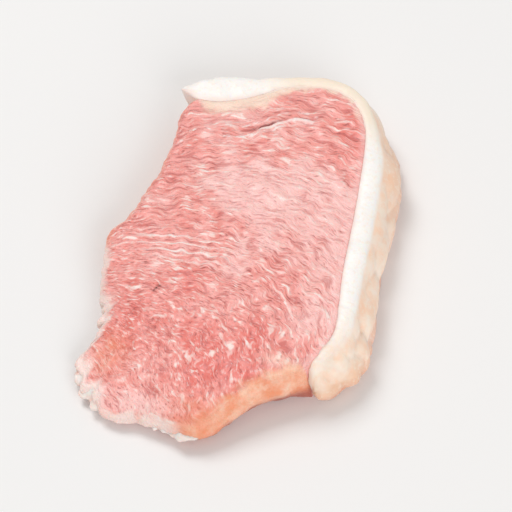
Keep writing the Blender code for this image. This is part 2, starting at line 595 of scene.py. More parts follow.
@dataclass
class LeanEye:
    """The slice of lean meat: its cut face with the grain, its trimmed side and its underside."""

    plan: ChopPlan
    around: int = 560  # vertices round the outline
    hub: float = 0.55  # size of the evenly gridded middle, as a share of the outline
    top_rings: int = 44
    side_rings: int = 36
    under_rings: int = 12
    swell: float = 1.2
    seam_inset: float = 0.35
    seam_shoulder: float = 0.05
    edge_fade: float = 8.0
    # Places on the profile: where the shoulder ends, where the cut face fades out and the underside in.
    shoulder_end: float = 1.35
    face_fade: tuple[float, float] = (1.12, 1.42)
    foot_fade: tuple[float, float] = (1.93, 2.0)
    foot_start: float = 1.9  # from here on bumps only go inwards, so that the chop lies flat
    least_reach: float = 15.0  # least distance from the middle to the edge that depths are measured by
    # From the cut face's rim down the side: place on the drum, inset, height share, drop, share of the swell.
    profile: tuple[tuple[float, ...], ...] = (
        (1.0, 4.8, 1.0, 0.0, 0.0), (1.1, 2.6, 1.0, 0.22, 0.0), (1.2, 1.1, 1.0, 0.8, 0.0),
        (1.3, 0.2, 1.0, 1.7, 0.0), (1.4, 0.0, 0.8, 0.0, 0.4), (1.52, 0.0, 0.64, 0.0, 0.8),
        (1.66, 0.5, 0.42, 0.0, 0.7), (1.8, 1.9, 0.2, 0.0, 0.3), (1.92, 3.4, 0.05, 0.0, 0.0),
        (2.0, 4.6, 0.0, 0.0, 0.0),
    )
    grain_height: float = 0.3
    bundles: Layers = ((4.8, 0.3, 34.0),)
    grain: Layers = (((4.4, 1.15, 1.15), 1.25, 31.0), ((8.5, 2.6, 2.6), 0.6, 32.0), ((2.4, 0.8, 0.8), 0.5, 33.0))
    calm_rim: tuple[float, float] = (0.4, 3.0)  # distances from the edge between which the grain dies down
    calm_grain: Patches = (((2.0, 20.0), (13.0, 13.0), 0.4),)
    side_bumps: Layers = (((8.0, 8.0, 6.0), 0.8, 41.0), (3.2, 0.4, 42.0), (1.3, 0.1, 43.0))
    lobes: tuple[tuple[float, float], ...] = ((6.4, 13.0), (3.1, 14.0))  # large and small: size, seed
    lobe_sharpness: float = 3.2
    lobe_depth: float = 2.6
    nick_depth: float = 1.1
    lobe_base: float = 0.5
    fullness: float = 1.1  # how far the left side stands out
    notch_way_in: tuple[float, float] = (0.8, 1.0)  # shares of the way to the rim over which notches fade in
    edge_wander: Layers = ((5.2, 0.5, 11.0), (1.9, 0.2, 12.0))
    # Distances from the edge, or shares of the height, over which what lies along the edge fades out.
    rolled_skin: tuple[float, float] = (0.4, 3.9)
    foot_shade_span: tuple[float, float] = (0.05, 0.72)
    pale_seam: tuple[float, float] = (0.1, 3.0)
    cream_by_tongue: tuple[float, float] = (0.6, 6.8)
    cream_at_top: tuple[float, float] = (0.2, 2.6)
    milk_widths: tuple[float, float, float] = (4.6, 2.2, 1.4)  # at the corner, the left rim and the foot
    tone_base: float = 0.42
    tone_drift: Layers = ((13.0, 0.34, 51.0), (5.0, 0.26, 52.0))
    tone_patches: Patches = (
        ((4.0, 20.0), (18.0, 15.0), -0.46), ((29.0, 0.0), (9.0, 28.0), -0.36), ((20.0, 29.0), (7.0, 7.0), -0.4),
        ((15.0, -34.0), (15.0, 13.0), 0.6), ((16.0, 46.0), (11.0, 11.0), 0.34),
        ((-16.0, -30.0), (15.0, 17.0), 0.3), ((-29.0, 10.0), (8.0, 26.0), 0.16),
        ((-6.0, -54.0), (18.0, 5.0), -0.28),
    )
    warm_patches: Patches = (((-19.5, -41.0), (5.0, 6.5), 1.0), ((11.0, -52.5), (8.0, 5.5), 1.0))
    cream_patches: Patches = (((27.0, -31.0), (7.0, 3.0), 0.5),)
    cream_drift: Layers = ((4.5, 2.0, 53.0), (1.5, 1.4, 54.0))
    strand_patches: Patches = (((-13.0, -5.5), (15.0, 5.0), 1.0),)
    strand_spacing: float = 2.7
    # The crease on the cut face, left to right.
    crease_points: tuple[tuple[float, float], ...] = (
        (-21.4, 35.8), (-13.4, 37.6), (-8.1, 40.8), (-4.0, 44.6), (1.3, 47.8), (8.7, 47.4),
    )
    crease_ends: tuple[tuple[float, float], ...] = ((0.0, 0.16), (0.8, 1.0))  # shares of its length
    crease_reach: float = 7.0
    crease_depth: float = 0.95
    slit_width: float = 0.3
    slit_deepest: tuple[float, float] = (0.47, 0.12)  # share of the crease's length, and reach
    # The pale lip on one side of the slit and the soft bank on the other: distance from it and half width.
    lip_place: tuple[float, float] = (-0.85, 0.46)
    lip_height: float = 0.35
    bank_place: tuple[float, float] = (1.6, 1.5)
    bank_height: float = 0.3
    # Pale sinew lines beside the slit: distance from it, half width, amount, how much they waver.
    crease_lines: tuple[tuple[float, ...], ...] = (
        (-2.3, 0.36, 0.75, 2.2), (1.5, 0.36, 0.5, 2.2), (-4.0, 0.36, 0.4, 2.2),
    )
    shift: np.ndarray = field(default_factory=lambda: np.zeros(2))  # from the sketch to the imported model's frame
    # What _shape works out for each vertex.
    on_top: np.ndarray = field(init=False)
    below: np.ndarray = field(init=False)
    down: np.ndarray = field(init=False)  # place on the profile: 1 on top, 2 underneath
    edge_run: np.ndarray = field(init=False)  # distance along the trimmed edge, less than 0 on the seam
    free: np.ndarray = field(init=False)  # 1 on the trimmed edge, 0 on the seam
    from_edge: np.ndarray = field(init=False)

    def build(self) -> bpy.types.Object:
        """Makes the piece.

        Returns:
            The finished mesh object, at the origin.
        """
        self.seam = self.plan.seam()
        self.outline = Curve.joined(self.seam, self.plan.trimmed())
        obj = self._drum()
        base = points_of(obj)
        smooth = self._shape(base, ragged=False)
        low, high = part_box("loin_eye")
        middle = np.array([low.x + high.x, low.y + high.y]) / 2 / MM
        self.shift = middle - (smooth[:, :2].min(0) + smooth[:, :2].max(0)) / 2
        rows = self._shape(base)
        set_points(obj, rows)
        self._relief(obj, rows)
        settle(obj, self.shift)
        return obj

    def _drum(self) -> bpy.types.Object:
        """Makes a drum of radius 1 from z 0 down to -1, gridded finely enough to carry the grain.

        Returns:
            The drum.
        """
        obj = start_piece(
            "lean_eye_meat", bpy.ops.mesh.primitive_cylinder_add,
            vertices=self.around, radius=1.0, depth=1.0, end_fill_type="NOTHING", location=(0, 0, -0.5),
        )
        cut_rings(obj, Rings.WALL, self.side_rings)
        self._close_end(obj, Rings.TOP, self.top_rings)
        self._close_end(obj, Rings.FOOT, self.under_rings)
        face_outwards()
        return obj

    def _close_end(self, obj: bpy.types.Object, end: Rings, rings: int) -> None:
        """Draws one end of the drum in to its hub and fills that with an even grid.

        Args:
            obj: The drum.
            end: Which end.
            rings: How many rings lie between the rim and the hub.
        """
        edit(obj)
        mesh = obj.data
        for edge in mesh.edges:
            edge.select = all(abs(mesh.vertices[v].co.z - end.value) < TINY for v in edge.vertices)
        bpy.ops.object.mode_set(mode="EDIT")
        bpy.ops.mesh.extrude_edges_move()
        bpy.ops.transform.resize(value=(self.hub, self.hub, 1.0), center_override=(0.0, 0.0, end.value))
        bpy.ops.mesh.fill_grid(span=self.around // 4)
        bpy.ops.object.mode_set(mode="OBJECT")
        cut_rings(obj, end, rings, self.hub)

    def _shape(self, drum: np.ndarray, ragged: bool = True) -> np.ndarray:
        """Draws the drum to the chop's shape.

        Args:
            drum: The drum's vertices, one a row.
            ragged: Whether the free edge gets its notches.

        Returns:
            The chop's vertices in millimetres, one a row.
        """
        reach = np.hypot(drum[:, 0], drum[:, 1])
        self.on_top = drum[:, 2] > -TINY
        self.below = drum[:, 2] < TINY - 1
        self.down = np.clip(1.0 - drum[:, 2], 1.0, 2.0)
        turn = np.mod(-np.arctan2(drum[:, 1], drum[:, 0]) / math.tau, 1.0)
        run = turn * self.outline.length
        self.edge_run = run - self.seam.length
        rim = self.outline.at(run)
        out = self.outline.left(run)
        ends = self.seam.fine[[0, -1]]
        end_gap = np.linalg.norm(rim[:, None] - ends[None], axis=2).min(axis=1)
        self.free = np.where(self.edge_run > 0, ease(end_gap, 0.0, self.edge_fade), 0.0)
        middle = self.outline.fine.mean(0)
        away = rim - middle
        away /= np.linalg.norm(away, axis=1, keepdims=True)
        if ragged:
            rim = rim + away * (self._notches(rim) * self.free * ease(reach, *self.notch_way_in))[:, None]
        table = Curve(self.profile).fine
        inset, share, drop, swell = (np.interp(self.down, table[:, 0], table[:, k]) for k in range(1, 5))
        shoulder = self.seam_shoulder + (1 - self.seam_shoulder) * self.free
        foot = self.seam_inset + (1 - self.seam_inset) * self.free
        high = self.down < self.shoulder_end
        inset = inset * np.where(high, shoulder, foot)
        xy = rim + out * (self.swell * swell * self.free)[:, None]
        xy -= np.where(high[:, None], away, out) * inset[:, None]
        spoke = xy - middle
        inner = np.where(self.on_top | self.below, reach, 1.0)
        self.from_edge = (1 - inner) * np.maximum(np.abs((spoke * out).sum(axis=1)), self.least_reach) + inset
        thinness = np.minimum(1.0, self.plan.face_height(rim) / self.plan.thickness)
        share = np.where(self.below, 0.0, share)
        return self.plan.place(middle + spoke * inner[:, None], share, drop * shoulder * thinness)

    def _notches(self, rim: np.ndarray) -> np.ndarray:
        """Makes the free edge stray from its smooth outline: lobes with notches between.

        Args:
            rim: The nearest points of the outline, one a row.

        Returns:
            How far each moves out, in millimetres.
        """
        lobes, small = (np.minimum(1.0, self.lobe_sharpness * np.abs(cloud(rim, *lobe))) - 1.0 for lobe in self.lobes)
        ragged = clouds(rim, self.edge_wander) + 0.35 * small
        ragged *= 1.0 - 0.7 * Stretch.SMOOTH_FRONT.over(self.edge_run)
        notches = self.lobe_depth * lobes + self.nick_depth * small + self.lobe_base
        ragged += Stretch.NOTCHED_CORNER.over(self.edge_run) * notches
        return ragged + self.fullness * Stretch.FULL_LEFT.over(self.edge_run)

    def _crease(self, xy: np.ndarray) -> tuple[np.ndarray, np.ndarray, np.ndarray]:
        """The crease on the cut face.

        Args:
            xy: Points on the plan, one a row.

        Returns:
            How open the slit is, how much of the pale lip beside it, and the height that both add.
        """
        line = Curve(self.crease_points)
        far, where = line.nearest(xy)
        side = np.einsum("ij,ij->i", xy - line.at(where), line.left(where))
        share = where / line.length
        near = window(share, *self.crease_ends) * np.exp(-((far / self.crease_reach) ** 2))
        wobble = 0.35 * cloud(xy, 2.3, 21.0)
        deep = 0.3 + 0.7 * hump(share, *self.slit_deepest)
        broken = 0.35 + 0.65 * ease(cloud(xy, 2.2, 22.0), -0.15, 0.1)
        slit = hump(side + wobble, 0.0, self.slit_width) * deep * near
        lip = hump(side + wobble, *self.lip_place) * near * (0.25 + 0.75 * ease(share, 0.3, 0.6)) * broken
        for offset, width, amount, waver in self.crease_lines:
            thread = hump(side + waver * wobble, offset, width) * near
            lip = np.maximum(lip, amount * thread * broken)
        bank = hump(side, *self.bank_place) * near
        height = self.lip_height * lip + self.bank_height * bank - self.crease_depth * slit
        return slit, lip, height

    def _relief(self, obj: bpy.types.Object, rows: np.ndarray) -> None:
        """Raises the grain, the crease and the side's soft bumps, and paints what the material reads.

        Args:
            obj: The piece.
            rows: The chop's smooth vertices in millimetres, one a row.
        """
        xy = rows[:, :2]
        face = np.where(self.below, 0.0, 1 - ease(self.down, *self.face_fade))
        under = np.where(self.below, 1.0, ease(self.down, *self.foot_fade))
        side = np.clip(1 - face - under, 0.0, 1.0)
        fibre = np.column_stack([self.plan.fibres(xy), rows[:, 2]])
        grain = clouds(fibre, self.grain) * (1.0 - patches(xy, self.calm_grain))
        slit, lip, crease = (part * face for part in self._crease(xy))
        calm = 0.25 + 0.75 * ease(self.from_edge, *self.calm_rim)
        rough = (self.grain_height * grain + clouds(xy, self.bundles)) * calm
        height = rough * (face + under) + clouds(rows, self.side_bumps) * side * self.free + crease
        height = np.where(self.down > self.foot_start, -np.abs(rough), height)
        rows = raise_points(obj, rows, height)
        # fibre and grain place the material's painted highlights and painted shade on the grain, slit its painted
        # shade in the crease
        for name, values in (("fibre", fibre), ("grain", grain), ("slit", slit), ("lip", lip)):
            paint(obj, name, values)
        self._paint_edges(obj, rows, side, under)
        self._paint_tone(obj, xy, face)

    def _paint_edges(self, obj: bpy.types.Object, rows: np.ndarray, side: np.ndarray, under: np.ndarray) -> None:
        """Paints the trimmed side, the painted shade that darkens and reddens its foot, the milky tissue at the thin
        corner and the seam.

        Args:
            obj: The piece.
            rows: The chop's vertices in millimetres, one a row.
            side: How far each vertex belongs to the side.
            under: How far it belongs to the underside.
        """
        wander = cloud(rows, 3.0, 45.0)
        front, corner, rim, foot, thin = (
            stretch.over(self.edge_run)
            for stretch in (
                Stretch.PEACH_FRONT, Stretch.MILKY_CORNER, Stretch.MILKY_RIM, Stretch.MILKY_FOOT, Stretch.THIN_FOOT,
            )
        )
        rolled = 1 - ease(self.from_edge + 1.4 * wander + 0.7 * cloud(rows, 1.2, 46.0), *self.rolled_skin)
        rolled = np.where(self.below, 0.0, rolled) * (1 - under)
        skin = np.where(self.edge_run > 0.0, np.maximum(side, rolled * front), 0.0)
        width = 0.01 + np.array(self.milk_widths) @ np.array([corner, rim, foot])
        inwards = self.from_edge + 1.3 * wander
        milk = np.clip(1.25 - inwards / width, 0.0, 1.0) * np.clip(corner + rim + 0.75 * foot, 0.0, 1.0)
        milk *= self.free
        paint(obj, "milk", milk)
        paint(obj, "side", skin * (1 - 0.8 * milk) * (1 - 0.55 * thin))
        # painted shade: the side grows darker and redder towards the floor
        paint(obj, "low", 1 - ease(rows[:, 2] / self.plan.face_height(rows[:, :2]), *self.foot_shade_span))
        seam = 1 - ease(self.from_edge + 0.5 * wander, *self.pale_seam)
        paint(obj, "seam", np.where(self.edge_run < 0, seam, 0.0))

    def _paint_tone(self, obj: bpy.types.Object, xy: np.ndarray, face: np.ndarray) -> None:
        """Paints where the meat is paler and where it is deeper, in broad soft patches.

        Args:
            obj: The piece.
            xy: The vertices' places on the plan, one a row.
            face: How far each belongs to the cut face.
        """
        deep = self.tone_base + clouds(xy, self.tone_drift) + patches(xy, self.tone_patches)
        paint(obj, "deep", np.clip(deep, 0.0, 1.0))
        paint(obj, "warm", patches(xy, self.warm_patches) * (0.8 + 0.5 * cloud(xy, 3.0, 55.0)))
        run = self.edge_run + self.seam.length
        far = self.from_edge + clouds(xy, self.cream_drift)
        cream = Stretch.CREAM_BY_TONGUE.over(run) * (1 - ease(far, *self.cream_by_tongue))
        cream += 0.8 * Stretch.CREAM_AT_TOP.over(run) * (1 - ease(far, *self.cream_at_top))
        cream += patches(xy, self.cream_patches)
        paint(obj, "cream", np.clip(cream, 0.0, 1.0) * face)
        across = self.plan.fibres(xy)[:, 1]
        strands = np.clip(np.cos(across * math.tau / self.strand_spacing), 0.0, 1.0) ** 4
        paint(obj, "strand", strands * patches(xy, self.strand_patches) * face)


# --------------------------------------------------------------------------- the cap of back fat


@dataclass
class FatCap:
    """The layer of back fat round one side: a white cut face, a cream outer side, a loose tongue and a knob."""

    plan: ChopPlan
    shift: np.ndarray
    around: int = 96
    along: int = 300
    # How far the fat reaches into the lean, at distances along the seam, which closes the seam.
    reach_in: tuple[tuple[float, float], ...] = (
        (-4.0, 0.0), (2.0, 0.6), (22.0, 0.8), (32.0, 1.3), (48.0, 1.1), (58.0, 0.5), (143.0, 0.5),
    )
    # Inner edge of the tongue from its tip: x, y, width, lowest and highest share of the height.
    tongue: tuple[tuple[float, ...], ...] = (
        (-35.9, 47.4, 0.3, 0.7, 0.82), (-35.2, 46.7, 1.6, 0.54, 0.92), (-33.6, 45.8, 4.3, 0.36, 0.97),
        (-31.6, 45.1, 6.3, 0.16, 1.0), (-30.0, 44.7, 7.5, 0.04, 1.0),
    )
    width: tuple[tuple[float, float], ...] = (
        (0.0, 8.2), (6.0, 9.2), (12.0, 8.4), (20.0, 5.8), (26.0, 3.4), (38.0, 2.9), (48.0, 2.8),
        (56.0, 2.8), (62.0, 3.6), (70.0, 4.9), (88.0, 5.3), (104.0, 5.2), (116.0, 4.6), (125.0, 3.8),
        (134.0, 3.0), (143.0, 1.6),
    )
    swell: tuple[tuple[float, float], ...] = (
        (-8.0, 0.2), (0.0, 1.6), (20.0, 1.6), (34.0, 0.9), (48.0, 0.9), (56.0, 2.4), (61.0, 4.6),
        (66.0, 5.4), (74.0, 4.0), (88.0, 3.2), (104.0, 3.2), (120.0, 3.8), (132.0, 4.4), (140.0, 3.6),
        (143.0, 3.0),
    )
    # One section, from the foot of the inner side up and over: width share, height share, swell share.
    section: tuple[tuple[float, float, float], ...] = (
        (0.0, 0.0, 0.0), (0.0, 0.3, 0.0), (0.0, 0.65, 0.0), (0.0, 0.95, 0.0), (0.03, 0.985, 0.0),
        (0.14, 1.002, 0.0), (0.5, 1.016, 0.0), (0.86, 1.008, 0.0), (0.98, 0.985, 0.0), (1.0, 0.95, 0.1),
        (1.0, 0.86, 0.42), (1.0, 0.68, 0.8), (1.0, 0.46, 1.0), (1.0, 0.24, 0.95), (1.0, 0.08, 0.68),
        (0.96, 0.0, 0.35), (0.6, 0.0, 0.0),
    )
    turn_span: float = 2.2  # how far on either side the seam's direction is read
    end_rounding: float = 7.0
    end_bluntness: float = 3.4
    end_height: float = 0.42  # of the dome's middle, as a share of the knob's height
    end_push: float = 0.6
    section_scale: tuple[float, float, float] = (5.0, 16.0, 3.2)  # the section's three shares in millimetres
    # Shares of the section, out or up, over which its faces fade in, and the place of the ridge between them.
    outer_fade: tuple[float, float] = (0.02, 0.24)
    dent_fade: tuple[float, float] = (0.08, 0.75)
    cut_fade: tuple[float, float] = (0.95, 0.99)
    ridge_up: tuple[float, float] = (0.965, 0.03)
    ridge_out: tuple[float, float] = (0.08, 0.16)
    ridge_height: float = 0.35
    tongue_fade: tuple[float, float] = (-8.0, 2.0)  # along the seam, where the dents begin
    knob_run: tuple[float, float] = (116.0, 137.0)
    pane_size: float = 7.4
    pane_depth: float = 0.06
    lumps: Layers = ((4.6, 0.25, 62.0), (1.8, 0.08, 63.0))
    knob_lumps: Layers = ((4.6, 0.4, 62.0), (1.8, 0.14, 63.0))
    cut_ripple: Layers = ((4.4, 0.16, 64.0), (1.2, 0.05, 65.0))
    bulge_patches: Patches = (((66.0, 8.0), (12.0, 8.0), 1.0),)
    # What _shape works out for each vertex.
    run: np.ndarray = field(init=False)  # distance along the seam
    across: np.ndarray = field(init=False)
    share: np.ndarray = field(init=False)
    out: np.ndarray = field(init=False)

    def build(self) -> bpy.types.Object:
        """Makes the piece.

        Returns:
            The finished mesh object, at the origin.
        """
        obj = self._tube()
        rows = self._shape(points_of(obj))
        set_points(obj, rows)
        self._relief(obj, rows)
        settle(obj, self.shift)
        return obj

    def _tube(self) -> bpy.types.Object:
        """Makes a straight closed tube of radius 1 from z 0 to z 1, cut into rings.

        Returns:
            The tube.
        """
        obj = start_piece(
            "back_fat_cap", bpy.ops.mesh.primitive_cylinder_add,
            vertices=self.around, radius=1.0, depth=1.0, end_fill_type="TRIFAN", location=(0, 0, 0.5),
        )
        cut_rings(obj, Rings.WALL, self.along)
        return obj

    def _shape(self, tube: np.ndarray) -> np.ndarray:
        """Bends the tube along the seam and gives it the fat's section.

        Args:
            tube: The tube's vertices, one a row.

        Returns:
            The fat's vertices in millimetres, one a row.
        """
        seam = self.plan.seam()
        spine = Curve.joined(Curve([row[:2] for row in self.tongue]), seam)
        spine.closed = False
        lead = float(spine.length - seam.length)
        lengths = [Curve([row[:2] for row in self.tongue[: k + 1]]).length for k in range(1, len(self.tongue))]
        tongue_run = np.array([0.0, *lengths]) - lead
        self.run = tube[:, 2] * spine.length - lead
        tongue, widths = np.array(self.tongue), np.array(self.width)
        run_table = np.concatenate([tongue_run[:-1], widths[:, 0]])
        width = np.interp(self.run, run_table, np.concatenate([tongue[:-1, 2], widths[:, 1]]))
        low, high = (np.interp(self.run, tongue_run, tongue[:, k]) for k in (3, 4))
        swell = np.interp(self.run, *np.array(self.swell).T)
        loop = Curve(self.section, closed=True)
        turn = np.mod(np.arctan2(tube[:, 1], tube[:, 0]) / math.tau, 1.0)
        steps = self._even_turns(loop)
        across, share, out = loop.at(np.interp(turn, np.linspace(0, 1, len(steps)), steps)).T
        self.across, self.share, self.out = across, share, out
        at = self.run + lead
        way_out = spine.left(at, self.turn_span)
        reach_in = np.interp(self.run, *np.array(self.reach_in).T)
        inner = spine.at(at) - way_out * reach_in[:, None]
        xy = inner + way_out * ((width + reach_in) * across + swell * out)[:, None]
        rows = self.plan.place(xy, low + (high - low) * np.maximum(share, 0.0), np.zeros(len(xy)))
        return self._round_ends(tube, rows, spine)

    def _even_turns(self, loop: Curve) -> np.ndarray:
        """Spreads places round the section evenly in real size, as its three numbers have different units.

        Args:
            loop: The section.

        Returns:
            Distances along the loop.
        """
        steps = np.linalg.norm(np.diff(loop.fine * np.array(self.section_scale), axis=0), axis=1)
        real = np.concatenate([[0.0], np.cumsum(steps)])
        return np.interp(np.linspace(0, real[-1], 400), real, loop.run)

    def _round_ends(self, tube: np.ndarray, rows: np.ndarray, spine: Curve) -> np.ndarray:
        """Draws the knob's end in to a dome.

        Args:
            tube: The tube's vertices, one a row.
            rows: The fat's vertices, one a row.
            spine: The line that the tube follows.

        Returns:
            The fat's vertices with a rounded end.
        """
        left = (1.0 - tube[:, 2]) * spine.length
        knob = left < self.end_rounding
        share = np.clip(1 - left / self.end_rounding, 0.0, 1.0)
        size = np.sqrt(np.clip(1 - share**self.end_bluntness, 0.0, 1.0))
        hub = np.hypot(tube[:, 0], tube[:, 1]) < 0.5
        size = np.where(hub, 0.0, np.maximum(size, 0.02))
        last = rows[(left < spine.length / self.along * 1.5) & ~hub]
        middle = last.mean(0)
        middle[2] = last[:, 2].max() * self.end_height
        way = spine.fine[-1] - spine.fine[-30]
        way = np.append(way / np.linalg.norm(way), 0.0)
        drawn = middle + (rows - middle) * size[:, None] + way * (self.end_push * share**2)[:, None]
        return np.where(knob[:, None], drawn, rows)

    def _relief(self, obj: bpy.types.Object, rows: np.ndarray) -> None:
        """Dents the outer side, roughens the cut face slightly and paints what the material reads.

        Args:
            obj: The piece.
            rows: The fat's smooth vertices in millimetres, one a row.
        """
        line = np.column_stack([self.run, rows[:, 2]])
        outer = ease(self.out + 0.05 * cloud(line, 3.0, 60.0), *self.outer_fade)
        cut_face = ease(self.share, *self.cut_fade) * (1 - outer)
        away = ease(self.out, *self.dent_fade)
        knob = ease(self.run + 3.0 * cloud(line, 5.0, 59.0), *self.knob_run)
        tilted = np.column_stack([0.55 * line[:, 0] + 0.3 * line[:, 1], line[:, 1] - 0.1 * line[:, 0]])
        size = self.pane_size - 1.2 * knob[:, None]
        flats = self.pane_depth * (1 + 0.5 * knob) * panes(tilted, size, 61) - 0.42
        lumps = clouds(rows, self.lumps) + knob * clouds(rows, self.knob_lumps)
        height = (flats * away + lumps * np.maximum(away, knob)) * ease(self.run, *self.tongue_fade)
        height += cut_face * clouds(rows, self.cut_ripple)
        ridge = hump(self.share, *self.ridge_up) * hump(self.out, *self.ridge_out)
        height += ridge * self.ridge_height * cloud(line, 3.4, 66.0)
        height = np.where(rows[:, 2] < 0.3, np.minimum(height, 0.0), height)
        rows = raise_points(obj, rows, height)
        paint(obj, "outer", np.clip(outer + 0.7 * knob * (1 - outer), 0.0, 1.0))
        # the knob's tan, only on its lower part: painted shade below its lit top, over the fat's own tan
        paint(obj, "knob", knob * ease(-rows[:, 2] / self.plan.thickness, -0.95, -0.35))
        paint(obj, "low", 1 - ease(rows[:, 2] / self.plan.thickness, 0.05, 0.6))
        paint(obj, "bulge", patches(line, self.bulge_patches) * outer)
        paint(obj, "band", Stretch.WARM_BAND.over(self.run))
        paint(obj, "inner", 1 - ease(self.across + 0.05 * cloud(line, 2.6, 67.0), 0.08, 0.34))


# --------------------------------------------------------------------------- the scraps of sinew


@dataclass
class EdgeScraps:
    """A thin half-clear skin of fat and sinew that the knife left along the thin edge of the lean."""

    plan: ChopPlan
    shift: np.ndarray
    name: str
    start: float  # distance along the trimmed edge where it begins
    end: float
    reach: tuple[tuple[float, float], ...]  # distance from the start as a share, how far it stands out
    seed: float
    height: float = 0.8  # share of the slice's height at which it leaves the meat
    rooted: float = 3.0  # how far inside the outline it starts
    thickness: float = 0.7
    step: float = 0.45  # size of one face along the edge
    across: int = 10
    lobe_size: float = 4.6
    lobe_depth: float = 1.6
    taper: float = 0.12  # share of its length over which each end runs out
    droop: float = 0.5

    def build(self) -> bpy.types.Object:
        """Makes the piece.

        Returns:
            The finished mesh object, at the origin.
        """
        along = round((self.end - self.start) / self.step)
        obj = start_piece(
            self.name, bpy.ops.mesh.primitive_grid_add,
            x_subdivisions=along, y_subdivisions=self.across, size=1.0, location=(0.5, 0.5, 0.0),
        )
        set_points(obj, self._shape(points_of(obj)) * MM)
        wall = obj.modifiers.new("wall", "SOLIDIFY")
        wall.thickness = self.thickness * MM
        wall.offset = 0.0
        wall.use_even_offset = False
        smooth = obj.modifiers.new("round", "SUBSURF")
        smooth.levels = 1
        smooth.render_levels = 1
        for modifier in (wall.name, smooth.name):
            bpy.ops.object.modifier_apply(modifier=modifier)
        rows = points_of(obj)
        rows[:, 2] = np.maximum(rows[:, 2], 0.0)
        set_points(obj, rows)
        face_outwards()
        bpy.ops.object.shade_smooth()
        return obj

    def _shape(self, grid: np.ndarray) -> np.ndarray:
        """Lays the grid along the edge, its free side hanging out and down.

        Args:
            grid: The grid's vertices, x along the edge and y outwards, both from 0 to 1.

        Returns:
            The scrap's vertices in millimetres, one a row.
        """
        edge = self.plan.trimmed()
        run = self.start + grid[:, 0] * (self.end - self.start)
        rim = edge.at(run)
        out = edge.left(run, 2.0)
        lobes = np.minimum(1.0, 2.8 * np.abs(cloud(rim, self.lobe_size, self.seed)))
        ends = window(grid[:, 0], (0.0, self.taper), (1.0 - self.taper, 1.0))
        reach = np.interp(grid[:, 0], *np.array(self.reach).T) + self.lobe_depth * (lobes - 0.8)
        hang = grid[:, 1]
        stand = (reach + self.rooted) * ends * hang - self.rooted
        xy = rim + out * stand[:, None]
        rows = self.plan.place(xy, self.height * (1 - self.droop * hang), np.zeros(len(xy)))
        rows[:, 2] += 0.5 * self.thickness + 0.5 * (1 + cloud(rows, 2.6, self.seed + 1)) * hang
        rows[:, :2] += self.shift
        return rows


# --------------------------------------------------------------------------- finishes


TIMES = {"operation": "MULTIPLY"}
PLUS = {"operation": "ADD"}
SOFT = {"interpolation_type": "SMOOTHSTEP"}
COLOUR = {"data_type": "RGBA"}


class Nodes:
    """Adds nodes to one material."""

    def __init__(self, name: str) -> None:
        """Starts an empty material.

        Args:
            name: The material's name.
        """
        self.material = bpy.data.materials.new(name)
        self.material.use_nodes = True
        self.tree = self.material.node_tree
        self.tree.nodes.clear()

    def add(
        self, kind: str, settings: dict[str, object] | None = None, out: int | str = 0, **inputs: object
    ) -> bpy.types.NodeSocket:
        """Adds a node with its settings and links.

        Args:
            kind: The node's type, such as Mix.
            settings: Properties to set on the node.
            out: The output to hand back, by number or name.
            **inputs: Values, hex colours or output sockets for its inputs, by name with _ for a space, or by
                number as i0, i1.

        Returns:
            The chosen output.
        """
        node = self.tree.nodes.new("ShaderNode" + kind)
        for key, value in (settings or {}).items():
            setattr(node, key, value)
        for key, value in inputs.items():
            numbered = key[0] == "i" and key[1:].isdigit()
            socket = node.inputs[int(key[1:])] if numbered else node.inputs[key.replace("_", " ")]
            if isinstance(value, bpy.types.NodeSocket):
                self.tree.links.new(value, socket)
            else:
                socket.default_value = linear_colour(value) if isinstance(value, str) else value
        return node.outputs[out]

    def finish(self, shader: bpy.types.NodeSocket) -> bpy.types.Material:
        """Wires the shader to the output.

        Args:
            shader: The shader's output.

        Returns:
            The finished material.
        """
        output = self.tree.nodes.new("ShaderNodeOutputMaterial")
        self.tree.links.new(shader, output.inputs["Surface"])
        return self.material


